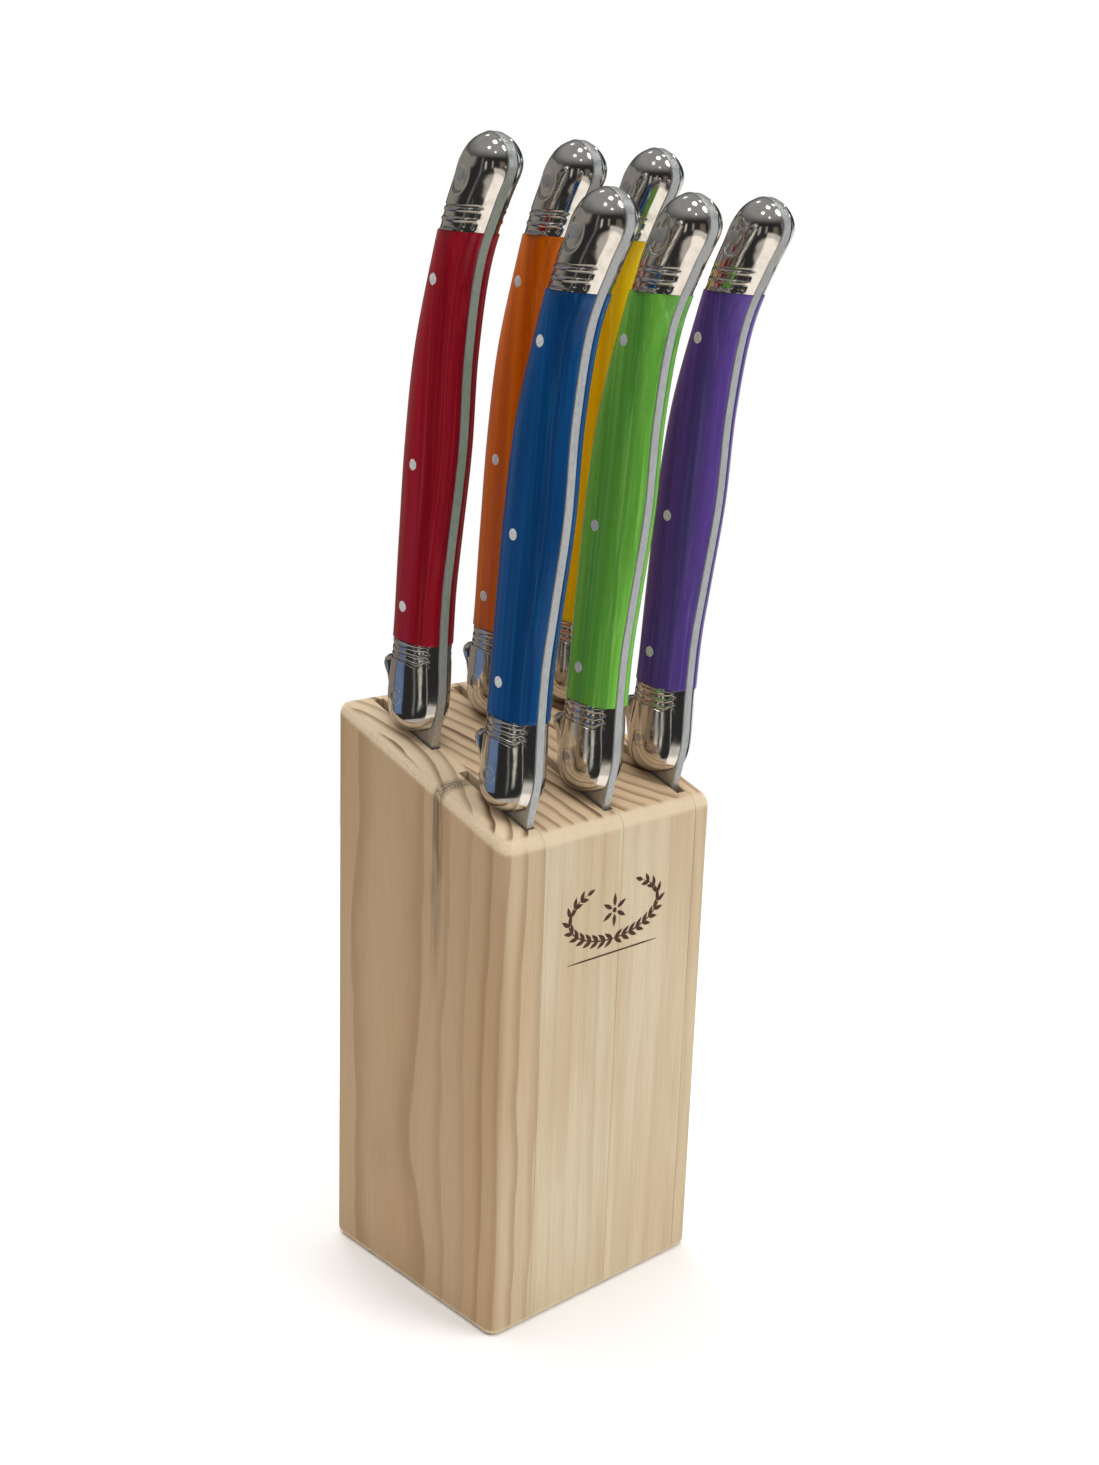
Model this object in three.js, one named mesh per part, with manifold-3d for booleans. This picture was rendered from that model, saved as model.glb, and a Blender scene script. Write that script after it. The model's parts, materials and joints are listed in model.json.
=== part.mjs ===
// A wooden block with a sloped top and six table knives standing in it, in two rows of three.
// Millimetres, +Z up. The origin is the centre of the block's underside, the low front faces -Y.
// Each knife has a frame of its own: its axis is z, its cutting edge and belly face -y, its spine +y,
// and its origin is the lowest point of the bolster's foot.
import * as THREE from 'three';
import { mergeVertices } from 'three/addons/utils/BufferGeometryUtils.js';
import Module from 'manifold-3d';

const wasm = await Module();
wasm.setup();

// Block
const BLOCK_WIDTH = 61.8;
const BLOCK_DEPTH = 58.2;
const FRONT_HEIGHT = 112.5;
const BACK_HEIGHT = 131.7;
const UPRIGHT_EDGE_ROUNDING = 3;
const TOP_EDGE_ROUNDING = 3.5;
const UNDERSIDE_EDGE_ROUNDING = 2;
const SLOT_WIDTH = 2.8;
const SLOT_PITCH = 22.5;
const SLOT_FLOOR = 6;
const MIDDLE_SLOT_X = 1.3;
const FRONT_SLOTS = { start: 3.3, end: 25.2 };
const BACK_SLOTS = { start: 34.2, end: 55.0 };
const GLUE_GAP = 0.1;

// Knife
const TANG_THICKNESS = 2.3;
const FIT_GAP = 0.3;
const SCALE_HALF_THICKNESS = 5.4;
const BOLSTER_HALF_THICKNESS = 5.9;
const RING_SWELL = 0.2;
const RING_HALF_THICKNESS = 5.6;
const COLLAR_START = 15.5;
const SCALE_START = 20.5;
const SCALE_END = 105.5;
const CAP_RINGS_END = 110.5;
const BUTT_BALL = { y: -11.2, z: 117.6, radius: 6.8 };
const RIVET_RADIUS = 1.3;
const RIVET_PROUD = 0.05;
const PIN_RADIUS = 1.55;
const PIN_PROUD = 0.2;
const RIVETS = [[1.4, 28.0], [0.6, 58.3], [-2.5, 95.8]];
const BOLSTER_PIN = [1.5, 8.2];
const CAP_PIN = [-9.1, 116.3];
const PIN_SIDES = 8;

// Handle outline: up the belly, over the butt, down the spine and round the bolster's foot
const BELLY = [[-7.0, 6.5], [-6.6, 20], [-6.5, 32], [-7.4, 44], [-8.8, 62], [-8.7, 82], [-10.6, 100],
  [-15.0, 111.2], [-17.9, 117.6]];
const BUTT = [[-17.6, 120.5], [-15.2, 123.4], [-11.6, 124.5], [-8.0, 123], [-5.3, 119.4]];
const SPINE = [[-1.0, 109.8], [1.9, 98.8], [5.9, 81], [7.5, 62], [7.6, 42], [7.6, 22], [8.8, 6.5]];
const FOOT = [[7.8, 2.7], [5.2, 0.5], [1.2, 0], [-2.4, 0.6], [-5.4, 2.2]];
const OUTLINE_STEPS_PER_POINT = 2;
const SECTION_POWER = 2.4;
const SECTION_POINTS = 16;
const FOOT_HEIGHT = 5.5;
const FOOT_THINNING = 0.5;
const FOOT_LEVELS = [0.1, 0.6, 1.6, 3.2, FOOT_HEIGHT];
const SCALE_LEVELS = [SCALE_START, 32, 45, 58, 72, 83, 92, 99, SCALE_END];
const CAP_LEVELS = [CAP_RINGS_END, 112, 114, 116, 118];
const JOIN_DEPTH = 1;
const BUTT_FLATTENING = 0.88;
const BUTT_SIDES = 12;
const BUTT_BANDS = 8;
const CURVE_STEPS = 3;

// Blade
const BLADE_LENGTH = 105;
const NECK_TOP = 4;
const NECK_BELLY_Y = -6.6;
const NECK_CURVE = { y: -5.8, z: -2 };
const EDGE_Y = -5.2;
const BLADE_SPINE_Y = 7.9;
const HEEL_Z = -7;
const EDGE_STRAIGHT_END = -62;
const SPINE_STRAIGHT_END = -70;
const EDGE_CURVE_Z = -94.5;
const SPINE_CURVE_Z = -97.6;
const TIP_Y = 3;
const BLADE_SPINE_THICKNESS = 1.9;
const EDGE_THICKNESS = 0.4;
const BOSS = [[9.4, 15.1], [10.6, 14.7], [12.3, 12.6], [11.1, 11.0], [10.4, 6.8], [9.4, 3.2]];
const BOSS_WIDTH = 4.4;
const BOSS_ROOT = [[7, 5], [10, 5], [10, 14], [7, 14]];

// Where the knives stand: each row's bolster foot, and its lean towards the front
const FRONT_ROW = { y: -19.85, z: 116.4, lean: 4.6 };
const BACK_ROW = { y: 11.35, z: 126.7, lean: 4.0 };
const KNIVES = [
  { name: 'red', colour: 0x8f0a1c, column: -1, row: BACK_ROW, shift: 0 },
  { name: 'orange', colour: 0xc25a06, column: 0, row: BACK_ROW, shift: 0 },
  { name: 'yellow', colour: 0xd9a406, column: 1, row: BACK_ROW, shift: 0 },
  { name: 'blue', colour: 0x06407f, column: -1, row: FRONT_ROW, shift: 0 },
  { name: 'green', colour: 0x3f8f2c, column: 0, row: FRONT_ROW, shift: 0.4 },
  { name: 'purple', colour: 0x3f2470, column: 1, row: FRONT_ROW, shift: 1.6 },
];

const FAR = 200;
const TOP_SLOPE = Math.atan2(BACK_HEIGHT - FRONT_HEIGHT, BLOCK_DEPTH);

const pine = new THREE.MeshStandardMaterial({ color: 0xd9bd92, roughness: 0.6, metalness: 0 });
const steel = new THREE.MeshStandardMaterial({ color: 0xb8b8b6, roughness: 0.3, metalness: 1 });
const chrome = new THREE.MeshStandardMaterial({ color: 0x9c9c9c, roughness: 0.1, metalness: 1 });

// Solids ----------------------------------------------------------------------------------

function solidOf(geometry) {
  const bare = geometry.clone();
  bare.deleteAttribute('normal');
  bare.deleteAttribute('uv');
  const merged = mergeVertices(bare, 1e-4);
  return new wasm.Manifold(new wasm.Mesh({
    numProp: 3,
    vertProperties: new Float32Array(merged.attributes.position.array),
    triVerts: new Uint32Array(merged.index.array),
  }));
}

function geometryOf(solid) {
  const { vertProperties, triVerts } = solid.getMesh();
  const geometry = new THREE.BufferGeometry();
  geometry.setAttribute('position', new THREE.BufferAttribute(vertProperties, 3));
  geometry.setIndex(new THREE.BufferAttribute(triVerts, 1));
  geometry.computeVertexNormals();
  return geometry;
}

function meshOf(name, solid, material) {
  const mesh = new THREE.Mesh(geometryOf(solid), material);
  mesh.name = name;
  return mesh;
}

function boxBetween(low, high) {
  const size = high.map((value, axis) => value - low[axis]);
  const centre = high.map((value, axis) => (value + low[axis]) / 2);
  return solidOf(new THREE.BoxGeometry(...size).translate(...centre));
}

function straightExtrusion(shape, depth) {
  return new THREE.ExtrudeGeometry(shape, { depth, curveSegments: CURVE_STEPS, bevelEnabled: false });
}

// A shape drawn in y and z becomes a plate of this half thickness, centred on x = 0
function plateOf(shape, halfThickness) {
  const geometry = straightExtrusion(shape, 2 * halfThickness);
  return solidOf(turnedToYZ(geometry.translate(0, 0, -halfThickness)));
}

function turnedToYZ(geometry) {
  const toYZ = new THREE.Matrix4().makeBasis(
    new THREE.Vector3(0, 1, 0),
    new THREE.Vector3(0, 0, 1),
    new THREE.Vector3(1, 0, 0),
  );
  return geometry.applyMatrix4(toYZ);
}

// A pin along x through a point given by its y and z
function crossPin([y, z], radius, halfLength) {
  const cylinder = new THREE.CylinderGeometry(radius, radius, 2 * halfLength, PIN_SIDES);
  return solidOf(cylinder.rotateZ(Math.PI / 2).translate(0, y, z));
}

function polygonShape(points) {
  return new THREE.Shape(points.map(([u, v]) => new THREE.Vector2(u, v)));
}

function roundedPolygon(corners, rounding) {
  const points = corners.map(([u, v]) => new THREE.Vector2(u, v));
  const shape = new THREE.Shape();
  points.forEach((corner, index) => {
    const before = points.at(index - 1).clone().sub(corner).setLength(rounding).add(corner);
    const after = points[(index + 1) % points.length].clone().sub(corner).setLength(rounding).add(corner);
    if (index === 0) shape.moveTo(before.x, before.y);
    else shape.lineTo(before.x, before.y);
    shape.quadraticCurveTo(corner.x, corner.y, after.x, after.y);
  });
  return shape;
}

// Block -----------------------------------------------------------------------------------

function uprightForm() {
  const halfWidth = BLOCK_WIDTH / 2;
  const halfDepth = BLOCK_DEPTH / 2;
  const plan = roundedPolygon(
    [[-halfWidth, -halfDepth], [halfWidth, -halfDepth], [halfWidth, halfDepth], [-halfWidth, halfDepth]],
    UPRIGHT_EDGE_ROUNDING,
  );
  const geometry = new THREE.ExtrudeGeometry(plan, {
    depth: FAR,
    curveSegments: CURVE_STEPS,
    bevelThickness: UNDERSIDE_EDGE_ROUNDING,
    bevelSize: UNDERSIDE_EDGE_ROUNDING,
    bevelOffset: -UNDERSIDE_EDGE_ROUNDING,
    bevelSegments: 2,
  });
  return solidOf(geometry.translate(0, 0, UNDERSIDE_EDGE_ROUNDING));
}

function sideForm() {
  const front = -BLOCK_DEPTH / 2;
  const back = BLOCK_DEPTH / 2;
  const side = roundedPolygon(
    [[front, -FAR], [back, -FAR], [back, BACK_HEIGHT], [front, FRONT_HEIGHT]],
    TOP_EDGE_ROUNDING,
  );
  return plateOf(side, BLOCK_WIDTH);
}

// Rounds the left and right edges of the sloped top
function slopeForm() {
  const halfWidth = BLOCK_WIDTH / 2;
  const across = roundedPolygon(
    [[-halfWidth, -FAR], [halfWidth, -FAR], [halfWidth, 0], [-halfWidth, 0]],
    TOP_EDGE_ROUNDING,
  );
  const geometry = straightExtrusion(across, 2 * FAR);
  const alongSlope = new THREE.Matrix4().makeBasis(
    new THREE.Vector3(1, 0, 0),
    new THREE.Vector3(0, -Math.sin(TOP_SLOPE), Math.cos(TOP_SLOPE)),
    new THREE.Vector3(0, -Math.cos(TOP_SLOPE), -Math.sin(TOP_SLOPE)),
  );
  geometry.translate(0, 0, -FAR).applyMatrix4(alongSlope);
  return solidOf(geometry.translate(0, 0, (FRONT_HEIGHT + BACK_HEIGHT) / 2));
}

function glueLineX(line) {
  return MIDDLE_SLOT_X + SLOT_WIDTH / 2 + (line - 1) * SLOT_PITCH;
}

function slotCutter(line, row) {
  const right = glueLineX(line);
  const front = -BLOCK_DEPTH / 2;
  const low = [right - SLOT_WIDTH, front + row.start, SLOT_FLOOR];
  return boxBetween(low, [right + JOIN_DEPTH, front + row.end, FAR]);
}

// Boards stand side by side; a slot is milled into the right face of each but the last
function boards() {
  const block = uprightForm().intersect(sideForm()).intersect(slopeForm());
  return [0, 1, 2, 3].map((index) => {
    const left = index === 0 ? -FAR : glueLineX(index - 1) + GLUE_GAP / 2;
    const right = index === 3 ? FAR : glueLineX(index) - GLUE_GAP / 2;
    let board = block.intersect(boxBetween([left, -FAR, -FAR], [right, FAR, FAR]));
    if (index < 3) {
      board = board.subtract(slotCutter(index, FRONT_SLOTS)).subtract(slotCutter(index, BACK_SLOTS));
    }
    return meshOf(`board_${index + 1}`, board, pine);
  });
}

// Knife -----------------------------------------------------------------------------------

function outlinePoints() {
  const controls = [...BELLY, ...BUTT, ...SPINE, ...FOOT];
  const curve = new THREE.CatmullRomCurve3(
    controls.map(([y, z]) => new THREE.Vector3(y, z, 0)),
    true,
    'centripetal',
  );
  return curve.getPoints(controls.length * OUTLINE_STEPS_PER_POINT).slice(0, -1)
    .map(({ x, y }) => new THREE.Vector2(x, y));
}

function wholeOutline() {
  return new THREE.Shape(outlinePoints());
}

// Where the outline crosses a height: its belly and spine, as the smallest and largest y
function widthAt(z) {
  const points = outlinePoints();
  const crossings = [];
  points.forEach((start, index) => {
    const end = points[(index + 1) % points.length];
    if ((start.y - z) * (end.y - z) > 0 || start.y === end.y) return;
    crossings.push(THREE.MathUtils.lerp(start.x, end.x, (z - start.y) / (end.y - start.y)));
  });
  return [Math.min(...crossings), Math.max(...crossings)];
}

// The handle's cross-section at a height, a rounded oblong as wide as the outline there
function sectionRing(z, halfThickness, swell) {
  const [belly, spine] = widthAt(z);
  const centre = (belly + spine) / 2;
  const halfWidth = (spine - belly) / 2 + swell;
  const bulge = (value) => Math.sign(value) * Math.abs(value) ** (2 / SECTION_POWER);
  return Array.from({ length: SECTION_POINTS }, (_, index) => {
    const angle = (2 * Math.PI * index) / SECTION_POINTS;
    const x = halfThickness * bulge(Math.cos(angle));
    return new THREE.Vector3(x, centre + halfWidth * bulge(Math.sin(angle)), z);
  });
}

// Joins rings of points, lowest first, into one closed body
function loft(rings) {
  const count = rings[0].length;
  const positions = rings.flat().flatMap(({ x, y, z }) => [x, y, z]);
  const triangles = [];
  for (let level = 0; level < rings.length - 1; level += 1) {
    for (let index = 0; index < count; index += 1) {
      const next = (index + 1) % count;
      const low = level * count;
      const high = low + count;
      triangles.push(low + index, low + next, high + next, low + index, high + next, high + index);
    }
  }
  const top = (rings.length - 1) * count;
  for (let index = 1; index < count - 1; index += 1) {
    triangles.push(0, index + 1, index, top, top + index, top + index + 1);
  }
  const geometry = new THREE.BufferGeometry();
  geometry.setAttribute('position', new THREE.Float32BufferAttribute(positions, 3));
  geometry.setIndex(triangles);
  return solidOf(geometry);
}

function handleForm(levels, halfThickness, swell = 0) {
  return loft(levels.map((z) => sectionRing(z, halfThickness, swell)));
}

function stretch(form, low, high) {
  return form.intersect(boxBetween([-FAR, -FAR, low], [FAR, FAR, high]));
}

// The part of a form on one side of the tang
function half(form, side) {
  const inner = side * (TANG_THICKNESS / 2 + FIT_GAP);
  const outer = side * FAR;
  return form.intersect(boxBetween([Math.min(inner, outer), -FAR, -FAR], [Math.max(inner, outer), FAR, FAR]));
}

function scaleForm() {
  let form = handleForm(SCALE_LEVELS, SCALE_HALF_THICKNESS);
  for (const rivet of RIVETS) {
    form = form.subtract(crossPin(rivet, RIVET_RADIUS + FIT_GAP, FAR));
  }
  return form;
}

// The bolster's foot narrows downwards in thickness as it does in width
function footForm() {
  const rings = FOOT_LEVELS.map((z) => {
    const drop = 1 - z / FOOT_HEIGHT;
    return sectionRing(z, BOLSTER_HALF_THICKNESS * (1 - FOOT_THINNING * drop ** 2), 0);
  });
  return loft([...rings, sectionRing(COLLAR_START + JOIN_DEPTH, BOLSTER_HALF_THICKNESS, 0)]);
}

function ringForm(low, high) {
  return handleForm([low, high], RING_HALF_THICKNESS, RING_SWELL);
}

function bolsterForm() {
  const collar = ringForm(COLLAR_START, SCALE_START - FIT_GAP);
  return footForm().add(collar).subtract(crossPin(BOLSTER_PIN, PIN_RADIUS + FIT_GAP, FAR));
}

function capForm() {
  const rings = ringForm(SCALE_END + FIT_GAP, CAP_RINGS_END);
  const body = handleForm([CAP_RINGS_END - JOIN_DEPTH, ...CAP_LEVELS], BOLSTER_HALF_THICKNESS);
  const sphere = new THREE.SphereGeometry(BUTT_BALL.radius, BUTT_SIDES, BUTT_BANDS).rotateZ(Math.PI / 2);
  sphere.scale(BUTT_FLATTENING, 1, 1);
  const ball = solidOf(sphere.translate(0, BUTT_BALL.y, BUTT_BALL.z));
  return body.add(rings).add(ball).subtract(crossPin(CAP_PIN, PIN_RADIUS + FIT_GAP, FAR));
}

function bladeShape() {
  const shape = new THREE.Shape();
  shape.moveTo(BLADE_SPINE_Y, NECK_TOP);
  shape.lineTo(NECK_BELLY_Y, NECK_TOP);
  shape.quadraticCurveTo(NECK_CURVE.y, NECK_CURVE.z, EDGE_Y, HEEL_Z);
  shape.lineTo(EDGE_Y, EDGE_STRAIGHT_END);
  shape.quadraticCurveTo(EDGE_Y, EDGE_CURVE_Z, TIP_Y, -BLADE_LENGTH);
  shape.quadraticCurveTo(BLADE_SPINE_Y, SPINE_CURVE_Z, BLADE_SPINE_Y, SPINE_STRAIGHT_END);
  return shape;
}

// Below the heel the blade is ground to a wedge, thick at the spine and thin at the edge
function blade() {
  const plate = plateOf(bladeShape(), TANG_THICKNESS / 2);
  const edge = EDGE_Y - JOIN_DEPTH;
  const spine = BLADE_SPINE_Y + JOIN_DEPTH;
  const section = polygonShape([
    [-EDGE_THICKNESS / 2, edge],
    [EDGE_THICKNESS / 2, edge],
    [BLADE_SPINE_THICKNESS / 2, spine],
    [-BLADE_SPINE_THICKNESS / 2, spine],
  ]);
  const wedge = solidOf(straightExtrusion(section, FAR).translate(0, 0, HEEL_Z - FAR));
  return stretch(plate, HEEL_Z, FAR).add(plate.intersect(wedge));
}

// Blade, full tang, spine boss and the three handle rivets
function bladeAndTang() {
  const tang = plateOf(wholeOutline(), TANG_THICKNESS / 2);
  const boss = plateOf(polygonShape(BOSS), BOSS_WIDTH / 2);
  const bossRoot = plateOf(polygonShape(BOSS_ROOT), TANG_THICKNESS / 2);
  let steelPart = tang.add(blade()).add(boss).add(bossRoot);
  for (const pin of [BOLSTER_PIN, CAP_PIN]) {
    steelPart = steelPart.subtract(crossPin(pin, PIN_RADIUS + FIT_GAP, FAR));
  }
  for (const rivet of RIVETS) {
    steelPart = steelPart.add(crossPin(rivet, RIVET_RADIUS, SCALE_HALF_THICKNESS + RIVET_PROUD));
  }
  return steelPart;
}

const forms = {
  steelPart: bladeAndTang(),
  scale: scaleForm(),
  bolster: bolsterForm(),
  cap: capForm(),
  bolsterPin: crossPin(BOLSTER_PIN, PIN_RADIUS, BOLSTER_HALF_THICKNESS + PIN_PROUD),
  capPin: crossPin(CAP_PIN, PIN_RADIUS, BUTT_FLATTENING * BUTT_BALL.radius + PIN_PROUD),
};

function knife({ name, colour, column, row, shift }) {
  const plastic = new THREE.MeshStandardMaterial({ color: colour, roughness: 0.25, metalness: 0 });
  const group = new THREE.Group();
  group.add(meshOf(`${name}_blade_and_tang`, forms.steelPart, steel));
  for (const [sideName, side] of [['left', -1], ['right', 1]]) {
    group.add(meshOf(`${name}_scale_${sideName}`, half(forms.scale, side), plastic));
    group.add(meshOf(`${name}_bolster_${sideName}`, half(forms.bolster, side), chrome));
    group.add(meshOf(`${name}_cap_${sideName}`, half(forms.cap, side), chrome));
  }
  group.add(meshOf(`${name}_bolster_pin`, forms.bolsterPin, steel));
  group.add(meshOf(`${name}_cap_pin`, forms.capPin, steel));
  const slope = Math.tan(TOP_SLOPE);
  group.position.set(MIDDLE_SLOT_X + column * SLOT_PITCH, row.y + shift, row.z + shift * slope);
  group.rotation.x = THREE.MathUtils.degToRad(row.lean);
  return group;
}

const knifeBlock = new THREE.Group();
knifeBlock.add(...boards());
knifeBlock.add(...KNIVES.map(knife));

export default knifeBlock;
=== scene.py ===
import json
import math
from collections import namedtuple

import bmesh
import bpy
import numpy as np
from mathutils import Matrix, Vector


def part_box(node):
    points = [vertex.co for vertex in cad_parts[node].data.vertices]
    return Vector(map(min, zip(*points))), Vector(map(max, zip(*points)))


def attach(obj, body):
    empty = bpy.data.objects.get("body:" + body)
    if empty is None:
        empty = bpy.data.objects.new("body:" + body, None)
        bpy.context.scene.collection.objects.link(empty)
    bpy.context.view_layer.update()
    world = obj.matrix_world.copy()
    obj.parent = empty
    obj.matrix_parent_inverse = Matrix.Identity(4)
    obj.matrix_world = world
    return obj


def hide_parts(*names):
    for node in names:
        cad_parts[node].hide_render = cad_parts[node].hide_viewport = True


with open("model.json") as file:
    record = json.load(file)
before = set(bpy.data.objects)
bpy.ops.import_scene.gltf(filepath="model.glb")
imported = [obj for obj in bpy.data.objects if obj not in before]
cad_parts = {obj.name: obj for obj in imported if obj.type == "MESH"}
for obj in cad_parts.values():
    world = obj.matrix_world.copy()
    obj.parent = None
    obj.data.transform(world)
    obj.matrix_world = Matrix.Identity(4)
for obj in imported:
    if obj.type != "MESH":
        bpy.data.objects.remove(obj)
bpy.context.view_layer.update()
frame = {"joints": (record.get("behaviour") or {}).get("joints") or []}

MM = 0.001

# Camera
CAMERA_PLACE = (-249.95, -276.40, 224.14)
CAMERA_AZIMUTH = -42.925
CAMERA_ELEVATION = 14.823
CAMERA_ROLL = 1.971
CAMERA_LENS = 42.68
CLIP_START = 10.0

# Block
FRONT_HEIGHT = 112.5
BACK_HEIGHT = 131.7
UPRIGHT_ROUNDING = 3.0
TOP_ROUNDING = 2.95
UNDERSIDE_ROUNDING = 1.8
ROUNDING_STEPS = 7
SHARP_EDGE = 50
GLUE_LINE_CHAMFER = 0.12
SLOT_WIDTH = 2.8
SLOT_FLOOR = 6.0
SLOT_TOP = 200.0
SLOT_OVERCUT = 5.0
SLOT_RUNS = [(3.3, 25.2), (34.2, 55.0)]

# Handle outline, as in the frame: belly, butt, spine and foot
BELLY = [(-7.0, 6.5), (-6.6, 20), (-6.5, 32), (-7.4, 44), (-8.8, 62), (-8.7, 82), (-10.6, 100),
         (-15.0, 111.2), (-17.9, 117.6)]
BUTT = [(-17.6, 120.5), (-15.2, 123.4), (-11.6, 124.5), (-8.0, 123), (-5.3, 119.4)]
SPINE = [(-1.0, 109.8), (1.9, 98.8), (5.9, 81), (7.5, 62), (7.6, 42), (7.6, 22), (8.8, 6.5)]
FOOT = [(7.76, 2.8), (5.2, 0.58), (1.2, 0.02), (-2.4, 0.6), (-5.4, 2.2)]

# Knife
TANG_HALF = 1.15
TANG_SIDE = TANG_HALF + 0.03
EDGE_SOFTENING = 0.14
METAL_SOFTENING = 0.3
SCALE_HALF = 5.4
SCALE_POWER = 2.4
FACET_POWER = 2.3
CAP_POWER = 2.15
CURVE_STEPS = 24
SCALE_START = 20.5
SCALE_END = 105.5
BOLSTER_HALF = 5.9
FOOT_HEIGHT = 5.5
COLLAR_START = 15.5
CAP_RINGS_END = 110.5
DOME_START = 117.6
DOME_RISE = 6.88
ARRIS_X = 3.2
ARRIS_SETBACK = 1.25
NARROW_FACE_POINTS = 5
SECTION_POINTS = 57
COLLAR_RECESS = 0.42
CAP_RECESS = 0.4
CAP_DISH_HALF = (3.0, 4.1)
CAP_DISH_LEAN = 20
CAP_DISH_DEPTH = 0.32

# Beads: the place of each up the handle, its half-width and how proud it is. The collar's places and
# half-widths are shares of the collar's height
COLLAR_BEADS = [(0.17, 0.09, 0.38), (0.48, 0.1, 0.4), (0.83, 0.13, 0.42)]
CAP_BEADS = [(107.7, 0.5, 0.42), (109.6, 0.5, 0.42)]

# Turned parts: the place of each as (y, z), and profiles as (radius, depth below the head)
RIVETS = [(1.4, 28.0), (0.6, 58.3), (-2.5, 95.8)]
BOLSTER_PIN = (1.5, 8.2)
CAP_PIN = (-9.1, 116.3)
LATHE_STEPS = 40
RIVET_PROFILE = [(0.01, 0), (0.5, 0.005), (0.95, 0.02), (1.18, 0.05), (1.3, 0.14), (1.3, 0.6), (1.2, 0.8)]
CAP_PIN_PROFILE = [(0.01, 0), (0.8, 0.02), (1.25, 0.08), (1.45, 0.2), (1.52, 0.4), (1.52, 1.2)]
BOLSTER_PIN_PROFILE = [
    (0.01, 0), (0.7, 0.04), (1.08, 0.12), (1.22, 0.2), (1.27, 0.34), (1.28, 0.75), (1.64, 0.75),
    (1.66, 0.2), (1.7, 0.02), (1.77, -0.02), (1.84, 0.05), (1.9, 0.2), (1.92, 0.4), (1.92, 1.2),
]
# The groove's profile is that of a dark ring filling its floor, which is painted shade
GROOVE_PROFILE = [(1.24, 0.9), (1.24, 0.3), (1.45, 0.34), (1.68, 0.3), (1.68, 0.9)]
RIVET_PROUD = 0.05
BOLSTER_PIN_PROUD = 0.06
CAP_PIN_SUNK = 0.12

# The boss on the spine: height, reach from the knife's axis, half-width
BOSS_OUTLINE = [
    (3.0, 8.9, 0.5), (5.0, 10.0, 1.0), (8.0, 10.5, 1.5), (10.4, 10.9, 1.9), (11.6, 11.7, 2.15),
    (12.7, 12.25, 2.2), (13.8, 12.0, 2.1), (14.7, 10.9, 1.8), (15.1, 9.2, 1.3),
]
BOSS_ROOT = 7.6
BOSS_LEVELS = 54
BOSS_POINTS = 28

# Blade
BLADE_LENGTH = 105
NECK_TOP = 4.0
NECK_BELLY = -6.6
HEEL_Z = -7.0
EDGE_Y = -5.2
BACK_Y = 7.9
EDGE_STRAIGHT_END = -62
BACK_STRAIGHT_END = -70
TIP_Y = 3.0
BLADE_BACK_HALF = 0.9
BLADE_EDGE_HALF = 0.08
NECK_BACK_HALF = 0.95
NECK_EDGE_HALF = 0.85
PLATE_SOFTENING = 0.18

COLOURS = ["red", "orange", "yellow", "blue", "green", "purple"]
SIDES = {"left": -1, "right": 1}

# Burned ornament on the front face
ORNAMENT_X = 1.0
ORNAMENT_Z = 92.0
ORNAMENT_PROUD = 0.01
PLATE_STEP = 0.0006
ORNAMENT_DEPTH = 0.4
WREATH_WIDTH = 27.0
WREATH_HEIGHT = 13.0
STEM_SWEEP = 142
LINE_WIDTH = 0.36
LEAF_PAIRS = 12
LEAF_STEPS = 4
LEAF_LENGTH = 3.0
LEAF_SHRINK = 0.05
LEAF_WIDTH = 1.0
LEAF_TURN = 34
PETAL_START = 0.9
PETAL_LENGTH = 3.0
LINE_BELOW_WREATH = 3.2
DISC_STEPS = 12

# Colours are given as a screen shows them, 0 to 255.
# Boards, left to right: the tree's centre (x, y), ring spacing, how clearly the rings show on the
# sides, seed, and the colours of the sides' early and late wood and of the end grain
Board = namedtuple("Board", "pith spacing side_rings seed early late end")
BOARDS = [
    Board((-68.3, 9), 3.6, 0.44, 3.0, (199, 178, 147), (136, 100, 66), (224, 203, 172)),
    Board((-104, -30), 3.9, 0.16, 11.0, (209, 194, 165), (136, 100, 66), (214, 187, 153)),
    Board((92, 34), 4.3, 0.16, 23.0, (211, 195, 166), (138, 102, 68), (212, 183, 149)),
    Board((112, -22), 3.5, 0.22, 37.0, (206, 188, 156), (134, 98, 64), (216, 189, 155)),
]
# The board with the mineral stain, whose left face also gets painted shade
STAINED_AND_SHADED_BOARD = 1
CLOUD = (190, 163, 128)
# Painted shade: the tanner, darker colour given to surfaces that face left
LEFT_FACE_SHADE = (178, 140, 98)
LATE_END = (104, 72, 46)
END_SHARE = 0.85
FIBRE = (160, 126, 90)
PORE = (132, 98, 66)
# Painted highlight on the rounded edges round the block's top
RIM_HIGHLIGHT = (222, 203, 173)
STAIN = (92, 78, 62)
BURNED = ((46, 26, 18), (92, 58, 38))
RING_WANDER = (5, 8, 0)
RING_SHARPNESS = 2.2

# Metals
CHROME = (214, 210, 204)
SMUDGE = (150, 142, 132)
PIN_STEEL = (190, 190, 188)
SATIN_STEEL = (204, 204, 200)
RIVET_ALUMINIUM = (232, 232, 230)
GRINDING_MARK = (140, 138, 134)
# The next colours paint the shade in the groove round the bolster's pin, as a dark ring
GROOVE_SHADE = ((22, 20, 18), (58, 52, 46))

# Handle plastics: deep, middle and light streak
PLASTICS = {
    "red": ((118, 2, 18), (146, 4, 28), (164, 32, 48)),
    "orange": ((184, 80, 0), (214, 102, 0), (226, 126, 14)),
    "yellow": ((214, 172, 2), (238, 198, 4), (246, 214, 34)),
    "blue": ((0, 54, 104), (0, 72, 130), (4, 90, 144)),
    "green": ((84, 150, 52), (114, 188, 66), (148, 214, 98)),
    "purple": ((68, 50, 116), (94, 66, 150), (112, 86, 168)),
}

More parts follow.
